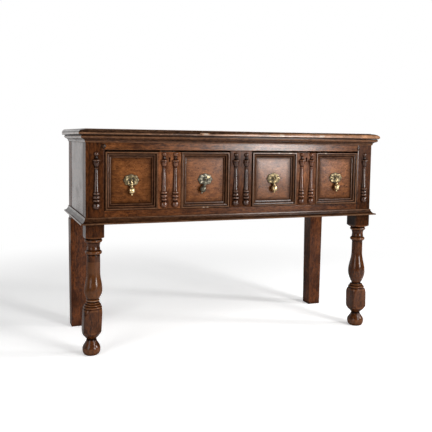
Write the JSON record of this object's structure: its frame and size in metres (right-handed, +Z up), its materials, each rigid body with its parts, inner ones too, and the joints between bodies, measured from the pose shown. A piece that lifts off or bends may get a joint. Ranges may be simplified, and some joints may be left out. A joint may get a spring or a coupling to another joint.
{
  "type": "low dresser",
  "caption": "Low joined-oak dresser with a moulded top, side-by-side panelled drawers with split balusters and drop handles, turned front legs and plain square back legs.",
  "frame": {"origin": "on the floor, under the middle of the top", "axes": "+X to the right as seen from the front, +Y to the back, +Z up; the drawers face -Y"},
  "size_m": [1.198, 0.4514, 0.7913],
  "materials": {
    "dark_oak": "old wax polish over dark stained oak",
    "panel_oak": "old wax polish over mid-brown oak",
    "moulding_oak": "old wax polish, dull in the hollows",
    "drawer_lining_oak": "dry unpolished oak",
    "old_brass": "handled cast brass",
    "black_iron": "forged and blackened"
  },
  "bodies": {
    "carcase": {"top_board_front": "dark_oak", "top_board_rear": "dark_oak", "cornice_moulding_front": "moulding_oak", "cornice_moulding_left": "moulding_oak", "cornice_moulding_right": "moulding_oak", "base_moulding_front": "moulding_oak", "base_moulding_left": "moulding_oak", "base_moulding_right": "moulding_oak", "front_post_left": "dark_oak", "front_post_right": "dark_oak", "rear_post_left": "dark_oak", "rear_post_right": "dark_oak", "front_top_rail": "dark_oak", "front_bottom_rail": "dark_oak", "front_muntin": "dark_oak", "side_board_left": "dark_oak", "side_board_right": "dark_oak", "back_board": "dark_oak", "drawer_runner_left": "drawer_lining_oak", "drawer_runner_centre": "drawer_lining_oak", "drawer_runner_right": "drawer_lining_oak", "stile_baluster_left": "dark_oak", "stile_baluster_right": "dark_oak", "muntin_baluster_left": "dark_oak", "muntin_baluster_right": "dark_oak"},
    "left_drawer": {"left_drawer_front": "panel_oak", "left_drawer_left_side": "drawer_lining_oak", "left_drawer_right_side": "drawer_lining_oak", "left_drawer_back": "drawer_lining_oak", "left_drawer_bottom": "drawer_lining_oak", "left_drawer_left_moulding": "moulding_oak", "left_drawer_right_moulding": "moulding_oak", "left_drawer_left_baluster": "dark_oak", "left_drawer_right_baluster": "dark_oak", "left_lock_case": "black_iron", "left_drawer_left_handle_plate": "old_brass", "left_drawer_left_handle_pin": "old_brass", "left_drawer_right_handle_plate": "old_brass", "left_drawer_right_handle_pin": "old_brass"},
    "left_lock_bolt": {"left_lock_bolt": "black_iron"},
    "left_drawer_left_drop": {"left_drawer_left_handle_drop": "old_brass"},
    "left_drawer_right_drop": {"left_drawer_right_handle_drop": "old_brass"},
    "right_drawer": {"right_drawer_front": "panel_oak", "right_drawer_left_side": "drawer_lining_oak", "right_drawer_right_side": "drawer_lining_oak", "right_drawer_back": "drawer_lining_oak", "right_drawer_bottom": "drawer_lining_oak", "right_drawer_left_moulding": "moulding_oak", "right_drawer_right_moulding": "moulding_oak", "right_drawer_left_baluster": "dark_oak", "right_drawer_right_baluster": "dark_oak", "right_lock_case": "black_iron", "right_drawer_left_handle_plate": "old_brass", "right_drawer_left_handle_pin": "old_brass", "right_drawer_right_handle_plate": "old_brass", "right_drawer_right_handle_pin": "old_brass"},
    "right_lock_bolt": {"right_lock_bolt": "black_iron"},
    "right_drawer_left_drop": {"right_drawer_left_handle_drop": "old_brass"},
    "right_drawer_right_drop": {"right_drawer_right_handle_drop": "old_brass"}
  },
  "joints": [
    {"name": "left_drawer_slide", "type": "slide", "parent": "carcase", "child": "left_drawer", "axis": [0, -1, 0], "range_m": [0, 0.29]},
    {"name": "right_drawer_slide", "type": "slide", "parent": "carcase", "child": "right_drawer", "axis": [0, -1, 0], "range_m": [0, 0.29]},
    {"name": "left_lock_bolt_slide", "type": "slide", "parent": "left_drawer", "child": "left_lock_bolt", "axis": [0, 0, 1], "range_m": [0, 0.008]},
    {"name": "right_lock_bolt_slide", "type": "slide", "parent": "right_drawer", "child": "right_lock_bolt", "axis": [0, 0, 1], "range_m": [0, 0.008]},
    {"name": "left_drawer_left_drop_swing", "type": "hinge", "parent": "left_drawer", "child": "left_drawer_left_drop", "pos_m": [-0.41363, -0.20755, 0.614], "axis": [-1, 0, 0], "range_deg": [0, 85]},
    {"name": "left_drawer_right_drop_swing", "type": "hinge", "parent": "left_drawer", "child": "left_drawer_right_drop", "pos_m": [-0.13887, -0.20755, 0.614], "axis": [-0.9511, 0, 0.309], "range_deg": [0, 85]},
    {"name": "right_drawer_left_drop_swing", "type": "hinge", "parent": "right_drawer", "child": "right_drawer_left_drop", "pos_m": [0.13887, -0.20755, 0.614], "axis": [-1, 0, 0], "range_deg": [0, 85]},
    {"name": "right_drawer_right_drop_swing", "type": "hinge", "parent": "right_drawer", "child": "right_drawer_right_drop", "pos_m": [0.41363, -0.20755, 0.614], "axis": [-1, 0, 0], "range_deg": [0, 85]}
  ]
}
